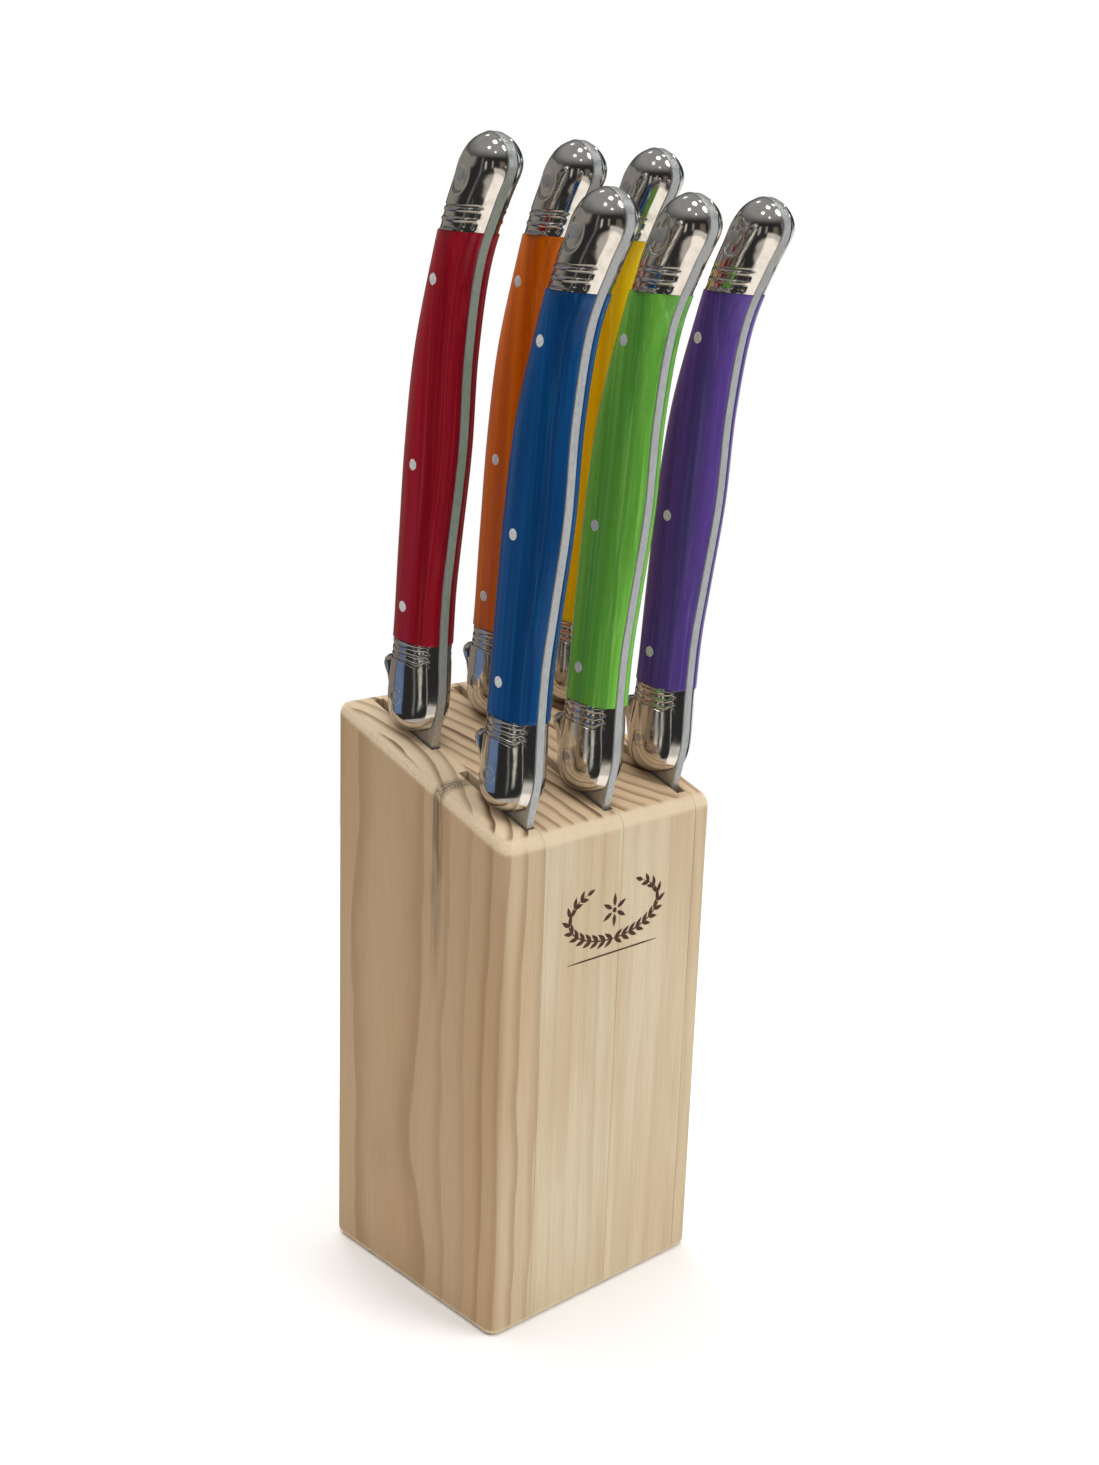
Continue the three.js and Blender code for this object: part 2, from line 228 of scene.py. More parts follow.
# Studio. Places, sizes and powers are in metres and watts, and light is in linear colour.
# AMBIENT is the soft light that every surface gets; the rest of the room shows only in the gloss.
# A panel's azimuth and elevation are each a centre, a half-width and a soft edge
Light = namedtuple("Light", "name place size power tint")
Panel = namedtuple("Panel", "azimuth elevation colour")
Lamp = namedtuple("Lamp", "azimuth elevation radius strength")
FLOOR_RADIUS = 0.32
FLOOR_POINTS = 96
FLOOR_COLOUR = (0.93, 0.93, 0.93, 1.0)
AIM = (0.0, 0.0, 0.12)
LIGHTS = [
    Light("key", (0.5, -0.85, 0.75), 0.7, 7.0, (1.0, 0.99, 0.97)),
    Light("top", (0.0, 0.1, 1.1), 1.0, 9.0, (1.0, 1.0, 1.0)),
    Light("fill", (-0.9, -0.2, 0.5), 0.7, 1.1, (1.0, 0.88, 0.74)),
    Light("back", (0.2, 0.95, 0.6), 0.7, 4.0, (1.0, 1.0, 1.0)),
]
AMBIENT = 0.42
CEILING = 0.36
WALL = 0.03
WALL_TOP = 14
CEILING_START = 50
PANELS = [
    Panel((88, 28, 8), (-14, 13, 5), (0.24, 0.2, 0.17)),
    Panel((132, 13, 1.5), (-16, 9, 2), (0.12, 0.21, 0.4)),
    Panel((115, 42, 8), (10, 11, 5), (0.27, 0.255, 0.23)),
    Panel((184, 3, 1.5), (-8, 24, 6), (0.16, 0.16, 0.15)),
    Panel((199, 3, 1), (-12, 14, 5), (0.7, 0.68, 0.62)),
    Panel((224, 3, 1), (-12, 14, 5), (0.4, 0.38, 0.35)),
    Panel((262, 10, 4), (-12, 14, 5), (0.16, 0.13, 0.1)),
    Panel((268, 38, 2), (-48, 22, 4), (0.72, 0.68, 0.63)),
    Panel((314, 24, 6), (-16, 34, 8), (0.64, 0.68, 0.73)),
    Panel((16, 20, 6), (-14, 16, 6), (0.85, 0.85, 0.82)),
    Panel((345, 9, 3), (26, 20, 6), (0.6, 0.82, 0.92)),
    Panel((180, 180, 0.1), (-70, 28, 2), (0.55, 0.51, 0.46)),
]
LAMPS = [
    Lamp(250, 82, 5.5, 5.0), Lamp(72, 56, 3.0, 2.0), Lamp(196, 58, 3.5, 3.5),
    Lamp(236, 44, 2.5, 2.0), Lamp(304, 52, 7.5, 7.0), Lamp(348, 68, 3.0, 2.5),
]
LAMP_EDGE = 2.0


# ---- Handle outline ----

def centripetal_curve(points):
    """A closed centripetal Catmull-Rom curve through the points."""
    controls = [np.array(point, float) for point in points]
    count = len(controls)
    made = []
    for index in range(count):
        a, b, c, d = (controls[(index + shift) % count] for shift in (-1, 0, 1, 2))
        pairs = ((a, b), (b, c), (c, d))
        before, within, after = (math.sqrt(np.linalg.norm(q - p)) for p, q in pairs)
        start = ((b - a) / before - (c - a) / (before + within) + (c - b) / within) * within
        end = ((c - b) / within - (d - b) / (within + after) + (d - c) / after) * within
        for step in range(CURVE_STEPS):
            t = step / CURVE_STEPS
            made.append(b + start * t + (3 * (c - b) - 2 * start - end) * t ** 2
                        + (2 * (b - c) + start + end) * t ** 3)
    return np.array(made)


def branches():
    """The outline as two lines that rise from the foot to the butt: the belly's and the spine's."""
    outline = centripetal_curve(BELLY + BUTT + SPINE + FOOT)
    outline = np.roll(outline, -int(outline[:, 1].argmin()), axis=0)
    top = int(outline[:, 1].argmax())
    belly = outline[:top + 1]
    spine = np.vstack([outline[top:], outline[:1]])[::-1]
    return belly, spine


BELLY_LINE, SPINE_LINE = branches()
FOOT_Z = float(BELLY_LINE[0, 1])
BUTT_Z = float(BELLY_LINE[-1, 1])


def width_at(z):
    """Belly and spine of the handle at a height."""
    belly = float(np.interp(z, BELLY_LINE[:, 1], BELLY_LINE[:, 0]))
    spine = float(np.interp(z, SPINE_LINE[:, 1], SPINE_LINE[:, 0]))
    return belly, spine


# ---- Small maths ----

def smooth_step(low, high, value):
    """0 below low, 1 above high and smooth between; low may be the greater of the two."""
    t = min(1.0, max(0.0, (value - low) / (high - low)))
    return t * t * (3 - 2 * t)


def mix(a, b, share):
    return a + (b - a) * share


def spread(start, end, count):
    return list(np.linspace(start, end, count))


def rounded_spread(start, end, count):
    """Heights from start to end that crowd towards the end, as a round end needs."""
    return [mix(start, end, math.sin(step * math.pi / 2 / (count - 1))) for step in range(count)]


def beads(place, rows):
    """How proud a row of half-round beads is at a place; rows are as in COLLAR_BEADS."""
    return sum(proud * math.sqrt(max(0.0, 1 - ((place - middle) / half_width) ** 2))
               for middle, half_width, proud in rows)


# ---- Mesh making ----

def finish_mesh(mesh, sharp_angle=35):
    """Joins doubled points, turns all faces outwards and shades smooth up to the sharp angle."""
    form = bmesh.new()
    form.from_mesh(mesh)
    bmesh.ops.remove_doubles(form, verts=form.verts, dist=1e-7)
    bmesh.ops.recalc_face_normals(form, faces=form.faces)
    form.to_mesh(mesh)
    form.free()
    mesh.shade_smooth()
    mesh.set_sharp_from_angle(angle=math.radians(sharp_angle))
    return mesh


def mesh_from(form, name):
    """The form as a mesh; the form itself is freed."""
    mesh = bpy.data.meshes.new(name)
    form.to_mesh(mesh)
    form.free()
    return mesh


def new_object(name, data):
    """A Blender object that is linked into the scene."""
    made = bpy.data.objects.new(name, data)
    bpy.context.collection.objects.link(made)
    return made


def mesh_of(name, points, faces, sharp_angle=35):
    """A mesh in metres from points in millimetres."""
    mesh = bpy.data.meshes.new(name)
    mesh.from_pydata([tuple(coordinate * MM for coordinate in point) for point in points], [], faces)
    return finish_mesh(mesh, sharp_angle)


def ring_faces(rings, count):
    """Quads between neighbouring rings of count points each."""
    faces = []
    for level in range(rings - 1):
        low = level * count
        high = low + count
        for index in range(count):
            after = (index + 1) % count
            faces.append((low + index, low + after, high + after, high + index))
    return faces


def loft(name, rings, sharp_angle=35):
    """Joins rings of points, lowest first, and closes both ends."""
    count = len(rings[0])
    faces = ring_faces(len(rings), count)
    faces.append(tuple(range(count))[::-1])
    faces.append(tuple(range((len(rings) - 1) * count, len(rings) * count)))
    return mesh_of(name, [point for ring in rings for point in ring], faces, sharp_angle)


def cross_lathe(name, centre, head, profile):
    """Turns a profile about an axis along x through centre, with its heads at x = head and x = -head."""
    y, z = centre
    right = [(radius, head - depth) for radius, depth in profile]
    left = [(radius, -x) for radius, x in reversed(right)]
    angles = [2 * math.pi * step / LATHE_STEPS for step in range(LATHE_STEPS)]
    rings = []
    for radius, x in right + left:
        rings.append([(x, y + radius * math.cos(angle), z + radius * math.sin(angle)) for angle in angles])
    return loft(name, rings)


# ---- Handle sections ----

def oblong(belly, spine, thickness, inner, power):
    """The outside of a rounded oblong from belly to spine, as (x, y) points; x is never under inner."""
    centre, half = (belly + spine) / 2, (spine - belly) / 2
    reach = math.acos(min(1.0, inner / thickness) ** (power / 2))
    made = []
    for angle in spread(-reach, reach, SECTION_POINTS):
        across = math.copysign(abs(math.sin(angle)) ** (2 / power), angle)
        made.append((thickness * math.cos(angle) ** (2 / power), centre + half * across))
    return made


def faceted(belly, spine, thickness, inner):
    """A bulging broad face between two flat narrow faces that slope back from the tang."""
    centre, half = (belly + spine) / 2, (spine - belly) / 2
    size = min(1.0, (thickness - inner) / (BOLSTER_HALF - inner))
    arris = inner + (ARRIS_X - inner) * size
    setback = ARRIS_SETBACK * min(size, half / 7)
    last = SECTION_POINTS - 1
    made = []
    for index in range(SECTION_POINTS):
        from_end = min(index, last - index)
        if from_end < NARROW_FACE_POINTS:
            share = from_end / NARROW_FACE_POINTS
            x, reach = mix(inner, arris, share), half - setback * share
            made.append((x, centre + math.copysign(reach, index - last / 2)))
        else:
            along = (index - last / 2) / (last / 2 - NARROW_FACE_POINTS)
            x = arris + (thickness - arris) * (1 - abs(along) ** FACET_POWER)
            made.append((x, centre + (half - setback) * along))
    return made


def blended(first, second, share):
    return [(mix(a[0], b[0], share), mix(a[1], b[1], share)) for a, b in zip(first, second)]


def pushed_out(section, amounts):
    """Moves each point of a section outwards, square to the section, by its own amount."""
    made = []
    for index, (x, y) in enumerate(section):
        before = section[max(0, index - 1)]
        after = section[min(len(section) - 1, index + 1)]
        along = Vector((after[0] - before[0], after[1] - before[1]))
        out = Vector((along.y, -along.x)).normalized()
        made.append((x + out.x * amounts[index], y + out.y * amounts[index]))
    return made


def side_ring(section, side, heights, softening):
    """A closed ring on one side of the tang, with its two edges beside the tang softened."""
    least = TANG_SIDE + softening
    outer = [(side * max(x, least), y, z) for (x, y), z in zip(section, heights)]
    start = (side * TANG_SIDE, section[0][1] + softening, heights[0])
    end = (side * TANG_SIDE, section[-1][1] - softening, heights[-1])
    return [start, *outer, end]


def shrunk(section, amount):
    return pushed_out(section, [-amount] * len(section))


# ---- Knife pieces, in the knife's own frame ----

def scale_surface(y, z):
    """Half-thickness of a scale at a point of its broad face."""
    belly, spine = width_at(z)
    across = abs(y - (belly + spine) / 2) / ((spine - belly) / 2)
    return SCALE_HALF * (1 - across ** SCALE_POWER) ** (1 / SCALE_POWER)


def scale_mesh(side):
    inner = TANG_SIDE + EDGE_SOFTENING
    low, high = SCALE_START + 0.02, SCALE_END - 0.02
    levels = [low, low + 0.05, low + EDGE_SOFTENING, *spread(low + 1, high - 1, 72),
              high - EDGE_SOFTENING, high - 0.05, high]
    rings = []
    for z in levels:
        from_end = min(z - low, high - z, EDGE_SOFTENING)
        inset = EDGE_SOFTENING * (1 - math.sqrt(1 - (1 - from_end / EDGE_SOFTENING) ** 2))
        section = shrunk(oblong(*width_at(z), SCALE_HALF, inner, SCALE_POWER), inset)
        rings.append(side_ring(section, side, [z] * SECTION_POINTS, EDGE_SOFTENING))
    return loft("scale", rings)


def broad_face_share(index):
    """1 on the broad face, falling to 0 on the narrow faces."""
    from_end = min(index, SECTION_POINTS - 1 - index)
    return smooth_step(NARROW_FACE_POINTS - 1, NARROW_FACE_POINTS + 3, from_end)


def collar_bottom(y):
    """How the collar's lower edge dips towards the belly and then rises to it."""
    dip = -0.55 * math.exp(-((y + 3.4) / 1.6) ** 2)
    rise = 2.1 * smooth_step(-3.8, -6.4, y)
    return 0.5 + dip + rise


def collar_relief(share):
    """Three beads above a step, where share runs from 0 at the collar's lower edge to 1 at its top."""
    recess = -COLLAR_RECESS * smooth_step(0.0, 0.05, share)
    return recess + beads(share, COLLAR_BEADS)


def bolster_thickness(z):
    """Half-thickness of the bolster, whose foot is rounded."""
    drop = max(0.0, 1 - z / FOOT_HEIGHT)
    inner = TANG_SIDE + METAL_SOFTENING
    return inner + 0.01 + (BOLSTER_HALF - inner) * math.sqrt(1 - drop ** 2)


def bolster_mesh(side):
    inner = TANG_SIDE + METAL_SOFTENING
    top = SCALE_START - 0.03
    foot = [FOOT_HEIGHT * (1 - math.cos(step * math.pi / 28)) + 0.01 for step in range(1, 14)]
    levels = foot + spread(FOOT_HEIGHT + 0.4, COLLAR_START, 18) + spread(COLLAR_START + 0.08, top, 52)
    rings = []
    for level in levels:
        section = faceted(*width_at(level), bolster_thickness(level), inner)
        share = (level - COLLAR_START) / (top - COLLAR_START)
        relief = collar_relief(share) if share > 0 else 0.0
        section = pushed_out(section, [relief * broad_face_share(i) for i in range(SECTION_POINTS)])
        ramp = min(smooth_step(7.0, COLLAR_START, level), 1 - max(0.0, share))
        heights = [level + ramp * collar_bottom(y) * broad_face_share(i)
                   for i, (_, y) in enumerate(section)]
        rings.append(side_ring(section, side, heights, METAL_SOFTENING))
    return loft("bolster", rings)


def cap_relief(z):
    """Two fine beads on the band between the scale and the cap's smooth body."""
    recess = -CAP_RECESS * (1 - smooth_step(CAP_RINGS_END - 0.35, CAP_RINGS_END, z))
    flare = 0.3 * (1 - smooth_step(SCALE_END, SCALE_END + 1.0, z))
    return recess + flare + beads(z, CAP_BEADS)


def cap_dish(y, z):
    """The shallow oval dish round the cap's pin."""
    away_y, away_z = y - CAP_PIN[0], z - CAP_PIN[1]
    lean = math.radians(CAP_DISH_LEAN)
    across = away_y * math.cos(lean) + away_z * math.sin(lean)
    along = away_z * math.cos(lean) - away_y * math.sin(lean)
    distance = math.hypot(across / CAP_DISH_HALF[0], along / CAP_DISH_HALF[1])
    return -CAP_DISH_DEPTH * (1 - smooth_step(0.78, 1.0, distance))


def cap_thickness(z):
    """Half-thickness of the cap, which ends in a dome."""
    rise = max(0.0, z - DOME_START) / DOME_RISE
    return BOLSTER_HALF * math.sqrt(max(0.0, 1 - rise ** 2))


def cap_mesh(side):
    inner = TANG_SIDE + METAL_SOFTENING
    start = SCALE_END + 0.03
    top = DOME_START + DOME_RISE * math.sqrt(1 - ((inner + 0.02) / BOLSTER_HALF) ** 2)
    levels = (spread(start, CAP_RINGS_END, 54) + spread(CAP_RINGS_END + 0.3, DOME_START, 26)
              + rounded_spread(DOME_START, top, 22)[1:])
    rings = []
    for z in levels:
        roundness = smooth_step(CAP_RINGS_END + 3.5, DOME_START + 2.0, z)
        size = (*width_at(z), cap_thickness(z), inner)
        section = blended(faceted(*size), oblong(*size, CAP_POWER), roundness)
        relief = cap_relief(z) if z < CAP_RINGS_END else 0.0
        amounts = [relief * broad_face_share(i) + cap_dish(y, z) for i, (_, y) in enumerate(section)]
        section = pushed_out(section, amounts)
        rings.append(side_ring(section, side, [z] * SECTION_POINTS, METAL_SOFTENING))
    return loft("cap", rings)


def bezier(start, control, end):
    """A quadratic curve as an array of (y, z) points."""
    made = []
    for step in range(CURVE_STEPS + 1):
        t = step / CURVE_STEPS
        points = zip(start, control, end)
        made.append([(1 - t) ** 2 * a + 2 * t * (1 - t) * b + t ** 2 * c for a, b, c in points])
    return np.array(made)


def blade_lines():
    """The blade's edge and back, each rising from the tip to the neck."""
    edge = np.vstack([
        bezier((TIP_Y, -BLADE_LENGTH), (EDGE_Y, -0.9 * BLADE_LENGTH), (EDGE_Y, EDGE_STRAIGHT_END)),
        bezier((EDGE_Y, HEEL_Z), (-5.8, -2.0), (NECK_BELLY, NECK_TOP)),
    ])
    back = np.vstack([
        bezier((TIP_Y, -BLADE_LENGTH), (BACK_Y, -0.93 * BLADE_LENGTH), (BACK_Y, BACK_STRAIGHT_END)),
        [[BACK_Y, NECK_TOP]],
    ])
    return edge, back


EDGE_LINE, BACK_LINE = blade_lines()


def plate_width(z):
    """Front and back of the steel plate at a height: the blade's below the foot, the handle's above."""
    lines = []
    if z <= NECK_TOP:
        lines.append([np.interp(z, line[:, 1], line[:, 0]) for line in (EDGE_LINE, BACK_LINE)])
    if z >= FOOT_Z:
        lines.append(width_at(z))
    return min(line[0] for line in lines), max(line[1] for line in lines)


def plate_ring(z):
    """A section of the plate: a wedge in the blade, a flat bar in the neck and tang."""
    front, back = plate_width(z)
    ground = smooth_step(-3.0, -11.0, z)
    neck = smooth_step(3.0, -6.0, z)
    back_half = mix(mix(TANG_HALF, NECK_BACK_HALF, neck), BLADE_BACK_HALF, ground)
    front_half = mix(mix(TANG_HALF, NECK_EDGE_HALF, neck), BLADE_EDGE_HALF, ground)
    size = min(1.0, (back - front) / 2)
    soft_front = min(PLATE_SOFTENING, front_half * 0.7) * size
    soft_back = PLATE_SOFTENING * size
    right = [
        (front_half - soft_front, front), (front_half, front + soft_front),
        *[(mix(front_half, back_half, share), mix(front + soft_front, back - soft_back, share))
          for share in (0.2, 0.4, 0.6, 0.8)],
        (back_half, back - soft_back), (back_half - soft_back, back),
    ]
    left = [(-x, y) for x, y in reversed(right)]
    return [(x, y, z) for x, y in right + left]


def plate_mesh():
    levels = ([-z for z in rounded_spread(60, BLADE_LENGTH - 0.02, 26)][::-1] + spread(-58, -12, 16)
              + spread(-11, 4, 31) + spread(4.6, 110, 72) + spread(111, 120, 14)
              + rounded_spread(120.3, BUTT_Z - 0.004, 16))
    return loft("plate", [plate_ring(z) for z in levels])


def boss_mesh():
    """A plain drop-shaped boss on the spine, full at its head and drawn out to a tail below."""
    outline = np.array(BOSS_OUTLINE)
    rings = []
    for z in spread(outline[0, 0], outline[-1, 0], BOSS_LEVELS):
        reach = np.interp(z, outline[:, 0], outline[:, 1])
        half = np.interp(z, outline[:, 0], outline[:, 2])
        middle, radius = (reach + BOSS_ROOT) / 2, (reach - BOSS_ROOT) / 2
        ring = []
        for step in range(BOSS_POINTS):
            angle = 2 * math.pi * step / BOSS_POINTS
            across = math.copysign(abs(math.cos(angle)) ** 0.85, math.cos(angle))
            ring.append((half * across, middle + radius * math.sin(angle), z))
        rings.append(ring)
    return loft("boss", rings, 50)


def turned_meshes():
    """The bolster's pin, a dark ring that paints the shade in the groove round it, the cap's pin and the
    rivets.
    """
    head = BOLSTER_HALF + BOLSTER_PIN_PROUD
    bolster_pin = cross_lathe("bolster_pin", BOLSTER_PIN, head, BOLSTER_PIN_PROFILE)
    groove = cross_lathe("groove", BOLSTER_PIN, head, GROOVE_PROFILE)
    cap_pin = cross_lathe("cap_pin", CAP_PIN, BOLSTER_HALF - CAP_PIN_SUNK, CAP_PIN_PROFILE)
    rivets = [cross_lathe("rivet", centre, scale_surface(*centre) + RIVET_PROUD, RIVET_PROFILE)
              for centre in RIVETS]
    return bolster_pin, groove, cap_pin, rivets


# ---- Block ----

def board_boxes():
    return [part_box(f"board_{number}") for number in (1, 2, 3, 4)]


def block_corners():
    """The block's lowest and highest corner in the CAD, in millimetres."""
    boxes = board_boxes()
    low = [min(box[0][axis] for box in boxes) / MM for axis in range(3)]
    high = [max(box[1][axis] for box in boxes) / MM for axis in range(3)]
    return low, high


def edges_where(form, test):
    return [edge for edge in form.edges if test(*(vertex.co for vertex in edge.verts))]


def rounded(form, edges, radius, steps=ROUNDING_STEPS):
    bmesh.ops.bevel(form, geom=edges, offset=radius * MM, segments=steps, affect="EDGES", profile=0.5)


def block_form():
    """The whole block as one rounded solid, before it is cut into boards."""
    low, high = block_corners()
    form = bmesh.new()
    plan = [(low[0], low[1]), (high[0], low[1]), (high[0], high[1]), (low[0], high[1])]
    bottom = [form.verts.new((x * MM, y * MM, 0)) for x, y in plan]
    heights = (FRONT_HEIGHT, FRONT_HEIGHT, BACK_HEIGHT, BACK_HEIGHT)
    top = [form.verts.new((x * MM, y * MM, z * MM)) for (x, y), z in zip(plan, heights)]
    form.faces.new(bottom[::-1])
    form.faces.new(top)
    for index in range(4):
        after = (index + 1) % 4
        form.faces.new((bottom[index], bottom[after], top[after], top[index]))
    upright = edges_where(form, lambda a, b: abs(a.z - b.z) > FRONT_HEIGHT * MM / 2)
    rounded(form, upright, UPRIGHT_ROUNDING)
    lowest = edges_where(form, lambda a, b: max(a.z, b.z) < 1e-6)
    rounded(form, lowest, UNDERSIDE_ROUNDING)
    high_up = edges_where(form, lambda a, b: min(a.z, b.z) > FRONT_HEIGHT * MM * 0.9)
    upper = [edge for edge in high_up if edge.calc_face_angle() > math.radians(SHARP_EDGE)]
    rounded(form, upper, TOP_ROUNDING)
    return form


def cut_at(form, x, keep_left):
    """Cuts the form by a plane at x, closes the cut and chamfers its edge into half a glue line."""
    everything = form.verts[:] + form.edges[:] + form.faces[:]
    bmesh.ops.bisect_plane(form, geom=everything, plane_co=(x * MM, 0, 0), plane_no=(1, 0, 0),
                           clear_outer=keep_left, clear_inner=not keep_left)
    rim = [edge for edge in form.edges if edge.is_boundary]
    bmesh.ops.contextual_create(form, geom=rim)
    rounded(form, rim, GLUE_LINE_CHAMFER, 1)


def glue_lines():
    """The planes between the boards, midway between their neighbouring faces."""
    boxes = board_boxes()
    return [(here[1].x + after[0].x) / 2 / MM for here, after in zip(boxes, boxes[1:])]


def box_object(low, high):
    """A box between two corners, for cutting with."""
    form = bmesh.new()
    bmesh.ops.create_cube(form, size=1)
    for vertex in form.verts:
        vertex.co = Vector([mix(a, b, at + 0.5) * MM for a, b, at in zip(low, high, vertex.co)])
    return new_object("cutter", mesh_from(form, "cutter"))


def with_slots(mesh, right):
    """The board's mesh with the two slots milled into its right face."""
    low, _ = block_corners()
    board = new_object("uncut", mesh)
    cutters = []
    for start, end in SLOT_RUNS:
        nearest = (right - SLOT_WIDTH, low[1] + start, SLOT_FLOOR)
        farthest = (right + SLOT_OVERCUT, low[1] + end, SLOT_TOP)
        cutter = box_object(nearest, farthest)
        modifier = board.modifiers.new("slot", "BOOLEAN")
        modifier.operation, modifier.solver, modifier.object = "DIFFERENCE", "EXACT", cutter
        cutters.append(cutter)
    evaluated = board.evaluated_get(bpy.context.evaluated_depsgraph_get())
    milled = bpy.data.meshes.new_from_object(evaluated)
    for made in [board, *cutters]:
        bpy.data.objects.remove(made)
    return milled


def board_meshes():
    lines = glue_lines()
    meshes = []
    for index in range(len(BOARDS)):
        form = block_form()
        if index > 0:
            cut_at(form, lines[index - 1], keep_left=False)
        if index < len(lines):
            cut_at(form, lines[index], keep_left=True)
        mesh = mesh_from(form, "board")
        if index < len(lines):
            mesh = with_slots(mesh, lines[index])
        meshes.append(finish_mesh(mesh, 30))
    return meshes


# ---- Burned ornament ----
# A shape is two lines of (across, up) points, one down each of its sides

def leaf(base, angle, length, width):
    """A pointed leaf growing from base, angle in degrees from the horizontal."""
    turn = math.radians(angle)
    along = Vector((math.cos(turn), math.sin(turn)))
    across = Vector((-math.sin(turn), math.cos(turn)))
    middle = [Vector(base) + along * length * share for share in spread(0, 1, 9)]
    swell = [width / 2 * math.sin(math.pi * share ** 0.8) for share in spread(0, 1, 9)]
    return ([point + across * out for point, out in zip(middle, swell)],
            [point - across * out for point, out in zip(middle, swell)])


def ribbon(points, width):
    """A line drawn through points, thinner at both ends."""
    near, far = [], []
    for index, point in enumerate(points):
        after = points[min(index + 1, len(points) - 1)]
        before = points[max(index - 1, 0)]
        along = (after - before).normalized()
        share = index / (len(points) - 1)
        half = width / 2 * min(1.0, 0.25 + 5 * min(share, 1 - share))
        out = Vector((-along.y, along.x)) * half
        near.append(point + out)
        far.append(point - out)
    return near, far


def disc(radius):
    """A small filled circle about the middle of the ornament."""
    angles = spread(0, math.pi, DISC_STEPS + 1)
    near = [Vector((math.cos(angle), math.sin(angle))) * radius for angle in angles]
    return near, [Vector((x, -y)) for x, y in near]


def wreath_line(mirror):
    """Half of the wreath's oval from its foot upwards, as points spaced evenly along it."""
    angles = [math.radians(-90 + mirror * degrees) for degrees in spread(-8, STEM_SWEEP, 200)]
    half_width, half_height = WREATH_WIDTH / 2, WREATH_HEIGHT / 2
    line = np.array([(half_width * math.cos(angle), half_height * math.sin(angle)) for angle in angles])
    travelled = np.concatenate([[0], np.cumsum(np.linalg.norm(np.diff(line, axis=0), axis=1))])
    even = spread(0, travelled[-1], LEAF_PAIRS * LEAF_STEPS + 1)
    return [Vector(point) for point in zip(np.interp(even, travelled, line[:, 0]),
                                           np.interp(even, travelled, line[:, 1]))]


def branch(mirror):
    """Half of the wreath: a stem with pairs of leaves that shrink towards its tip."""
    line = wreath_line(mirror)
    shapes = [ribbon(line, LINE_WIDTH)]
    for pair in range(1, LEAF_PAIRS + 1):
        base = line[pair * LEAF_STEPS]
        ahead = base - line[pair * LEAF_STEPS - 1]
        heading = math.degrees(math.atan2(ahead.y, ahead.x))
        turns = (LEAF_TURN, -LEAF_TURN) if pair < LEAF_PAIRS else (0,)
        for turn in turns:
            shapes.append(leaf(base, heading + turn, LEAF_LENGTH - LEAF_SHRINK * pair, LEAF_WIDTH))
    return shapes


def ornament_shapes():
    """A laurel wreath, open at the top, round a small six-petalled flower, over a thin line."""
    shapes = branch(-1) + branch(1)
    for turn in range(30, 390, 60):
        start = Vector((math.cos(math.radians(turn)), math.sin(math.radians(turn)))) * PETAL_START
        shapes.append(leaf(start, turn, PETAL_LENGTH, LEAF_WIDTH))
    shapes.append(disc(PETAL_START * 0.65))
    line_y = -WREATH_HEIGHT / 2 - LINE_BELOW_WREATH
    line = [Vector((x, line_y)) for x in spread(-WREATH_WIDTH / 2, WREATH_WIDTH / 2, 30)]
    shapes.append(ribbon(line, LINE_WIDTH))
    return shapes


def ornament_mesh():
    """Each shape as a thin closed plate, mostly sunk in the front face and a hair above the last one."""
    front = block_corners()[0][1]
    points, faces = [], []
    for number, (near, far) in enumerate(ornament_shapes()):
        start, count = len(points), len(near)
        for depth in (-ORNAMENT_PROUD - PLATE_STEP * number, ORNAMENT_DEPTH):
            points += [(ORNAMENT_X + across, front + depth, ORNAMENT_Z + up) for across, up in near + far]
        ring = list(range(count)) + list(range(2 * count - 1, count - 1, -1))
        for index in range(count - 1):
            strip = [start + corner for corner in (index, index + 1, count + index + 1, count + index)]
            faces += [strip, [corner + 2 * count for corner in strip[::-1]]]
        for here, after in zip(ring, ring[1:] + ring[:1]):
            faces.append([start + corner for corner in (here, here + 2 * count, after + 2 * count, after)])
    return mesh_of("ornament", points, faces)


# ---- Materials ----

